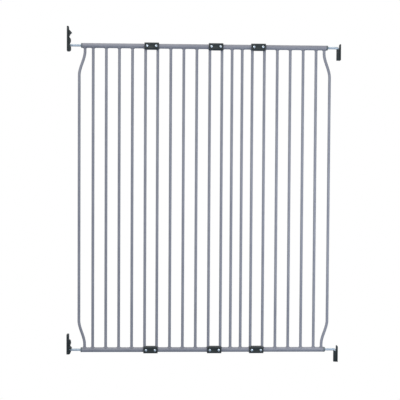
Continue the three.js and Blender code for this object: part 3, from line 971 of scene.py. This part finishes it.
def lower_latch_bracket():
    """Its hood and fixed stop stand over the pin."""
    low = PIN_RADIUS / MM + 0.5
    hood = [(1, low), (15.8, low), (11, 10.5), (9.5, 13), (1, 13)]
    stop = [(1, 12.5), (8, 13), (11.8, 16)]
    stop += curve((11.8, 16), (13.1, 17.5), (13.1, 22))
    stop += curve((13.1, 22), (13.1, 29), (10.8, 31.3))
    stop += [(LOWER["plate"], 33.5), (1, 33.5)]
    adding = [
        prism(hood, -CRADLE_HALF, CRADLE_HALF, side_view, "hood"),
        prism(stop, -LOCK_HALF, LOCK_HALF, side_view, "stop"),
    ]
    latch_bracket("bottom", LOWER, adding, [])


def lock():
    """The sliding lock: hump, thumb tab with grip grooves, and the nose behind the pin."""
    front = UPPER["plate"] + GAP
    root, tip_top, tip, tip_low = (front, 51), (14.7, 41.6), (15.3, 40.8), (14.7, 40)
    tab = [root, tip_top, tip, tip_low] + curve(tip_low, (8.8, 36.2), (front + 1, 28)) + [(front, 28)]
    hump = [(front, 5.5), (8.2, 6)]
    hump += curve((8.2, 6), (11.6, 9.5), (11.7, 16.5))
    hump += curve((11.7, 16.5), (11.7, 22.8), (8, 25.7))
    hump += [(front, 26.5)]

    def behind_pin(top):
        """Beside the lip and level with the pin, up to the given height."""
        near, far = LIP_INNER + 0.2, LOCK_HALF
        return [(near, NOSE_BOTTOM), (far, NOSE_BOTTOM), (far, top), (near, top)]

    flange = rectangle(LOCK_HALF - 0.5, NECK_BOTTOM, NECK_TOP)
    neck = rectangle(NECK_HALF, NECK_BOTTOM, NECK_TOP)
    adding = [
        prism(flange, GAP, RECESS_DEPTH - GAP, front_view, "flange"),
        prism(neck, 1, front + 0.5, front_view, "neck"),
        prism(behind_pin(STALK_TOP), front, STALK_REACH, front_view, "stalk"),
        prism(behind_pin(NOSE_TOP), front, NOSE_REACH, front_view, "nose"),
        prism(hump, -LOCK_HALF, LOCK_HALF, side_view, "hump"),
    ]
    slope = Vector(tip_top) - Vector(root)
    grooves = []
    for share in (0.25, 0.42, 0.59, 0.76):
        spot = Vector(root) + slope * share
        outline = arc(spot.x, spot.y, GROOVE_RADIUS, 0, 315, 7)
        half = LOCK_HALF - GROOVE_MARGIN
        grooves.append(prism(outline, -half, half, side_view, "groove"))
    body = prism(tab, -LOCK_HALF, LOCK_HALF, side_view, "lock")
    mesh = softened(carved(body, adding, grooves), LOCK_EDGE, 2)
    finish_piece(at_wall(mesh, "top", -1), "sliding_lock", PLASTIC, "lock", ["lock_slider"])


def hinge_bracket(level):
    node = f"hinge_bracket_{level}"
    bottom = (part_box(node)[0].z - RAIL_Z[level]) / MM
    centre = SOCKET_REACH - SOCKET_RADIUS
    outline = [(1, -SOCKET_RADIUS)] + arc(centre, 0, SOCKET_RADIUS, -90, 90, 24) + [(1, SOCKET_RADIUS)]
    socket = prism(outline, bottom, SOCKET_TOP, top_view, "socket")
    bore = PIN_RADIUS / MM + GAP
    well = turned([(bore, SOCKET_TOP - SOCKET_DEPTH), (bore, SOCKET_TOP + 1)], 48, "well", along="z",
                  centre=(SOCKET_BORE_X, 0, 0))
    sides = (-HINGE_HOLE_SIDE, HINGE_HOLE_SIDE)
    cuts = [well] + [screw_hole(HINGE_PLATE, y, HINGE_HOLE_Z, **HINGE_HOLE) for y in sides]
    mesh = carved(plate(node, bottom, HINGE_PLATE, HINGE_RIM), [socket], cuts)
    finish_piece(at_wall(softened(mesh, HINGE_EDGE), level, 1), f"hinge_socket_{level}", PLASTIC,
                 "wall_brackets", [node])


# ------------------------------------------------------------------ the gate

BARS = bars_tree()
WELDS = weld_tree()
SCREWS = screws_tree()
THREAD = thread_tree()

for level in LEVELS:
    for panel in PANEL_BARS:
        rail(level, panel)
    for number in (1, 2, 3):
        clip(level, number)
    end_plug(level, "left", flange=3.4 * MM, dome=0.8 * MM)
    end_plug(level, "right", flange=5.2 * MM, dome=3.0 * MM)
    welds(WELDS, level)
    hinge_pin(THREAD, level)
    hinge_bracket(level)
for panel in PANEL_BARS:
    bars(BARS, panel)
stile("stile_left", -1)
stile("stile_right", 1)
screws(SCREWS)
latch_pin(THREAD, "top", "latch_pin_upper")
latch_pin(THREAD, "bottom", "latch_pin_lower")
upper_latch_bracket()
lower_latch_bracket()
lock()


# ------------------------------------------------------------------ studio

FLOOR_DROP = 0.02
FLOOR_HALF = 12.0


def camera_sees(nodes):
    return nodes.add("ShaderNodeLightPath").outputs["Is Camera Ray"]


def floor():
    """A floor that looks white to the camera and throws back a soft, cooler light."""
    finish = Finish("pale_floor")
    seen = camera_sees(finish.nodes)
    finish.set(Base_Color=finish.nodes.colour_mix(seen, (0.42, 0.48, 0.57, 1), (0, 0, 0, 1)), Roughness=0.9)
    finish.set(Specular_IOR_Level=0.0, Emission_Color=(1, 1, 1, 1), Emission_Strength=seen)
    z = cad_low.z - FLOOR_DROP
    mesh = bpy.data.meshes.new("floor")
    corners = [(-FLOOR_HALF, -FLOOR_HALF, z), (FLOOR_HALF, -FLOOR_HALF, z),
               (FLOOR_HALF, FLOOR_HALF, z), (-FLOOR_HALF, FLOOR_HALF, z)]
    mesh.from_pydata(corners, [], [(0, 1, 2, 3)])
    mesh.materials.append(finish.material)
    object_from(mesh, "floor")


def world():
    """White behind the object; its light is brighter and warmer overhead than at the horizon."""
    sky = bpy.data.worlds.new("studio")
    sky.use_nodes = True
    nodes = Nodes(sky.node_tree)
    light = sky.node_tree.nodes["Background"]
    direction = nodes.add("ShaderNodeTexCoord").outputs["Generated"]
    height = nodes.add("ShaderNodeSeparateXYZ", {0: direction}).outputs["Z"]
    rise = nodes.add("ShaderNodeMapRange", {"Value": height, "From Min": -0.1, "From Max": 0.9})
    glow = nodes.colour_mix(rise.outputs[0], (0.42, 0.46, 0.52, 1), (1.0, 0.99, 0.97, 1))
    nodes.feed(light.inputs["Color"], nodes.colour_mix(camera_sees(nodes), glow, (1, 1, 1, 1)))
    bpy.context.scene.world = sky


def softbox(name, place, target, width, height, watts, tint=(1, 1, 1)):
    data = bpy.data.lights.new(name, "AREA")
    data.color = tint
    data.shape = "RECTANGLE"
    data.size = width
    data.size_y = height
    data.energy = watts
    lamp = bpy.data.objects.new(name, data)
    bpy.context.scene.collection.objects.link(lamp)
    lamp.location = place
    lamp.rotation_euler = (Vector(target) - Vector(place)).to_track_quat("-Z", "Y").to_euler()


CAMERA_PLACE = (-0.1278, -3.0, 0.628)
CAMERA_PITCH = -1.889
CAMERA_TURN = -2.215
CAMERA_ROLL = 0.337
CAMERA_LENS = 83.14


def camera():
    data = bpy.data.cameras.new("camera")
    data.sensor_width = 36
    data.lens = CAMERA_LENS
    eye = bpy.data.objects.new("camera", data)
    bpy.context.scene.collection.objects.link(eye)
    turn = (Matrix.Rotation(math.radians(CAMERA_TURN), 4, "Z")
            @ Matrix.Rotation(math.radians(90 + CAMERA_PITCH), 4, "X")
            @ Matrix.Rotation(math.radians(CAMERA_ROLL), 4, "Z"))
    eye.matrix_world = Matrix.Translation(CAMERA_PLACE) @ turn
    bpy.context.scene.camera = eye


floor()
world()
softbox("key", (-0.9, -1.5, 2.2), (-0.1, 0, 0.7), 1.2, 1.2, 30, (1.0, 0.98, 0.95))
softbox("side", (0.62, -0.75, 0.53), (0.25, 0, 0.53), 0.3, 0.3, 4.5, (0.86, 0.92, 1.0))
camera()
bpy.context.scene.view_settings.view_transform = "Standard"
bpy.context.scene.view_settings.look = "None"
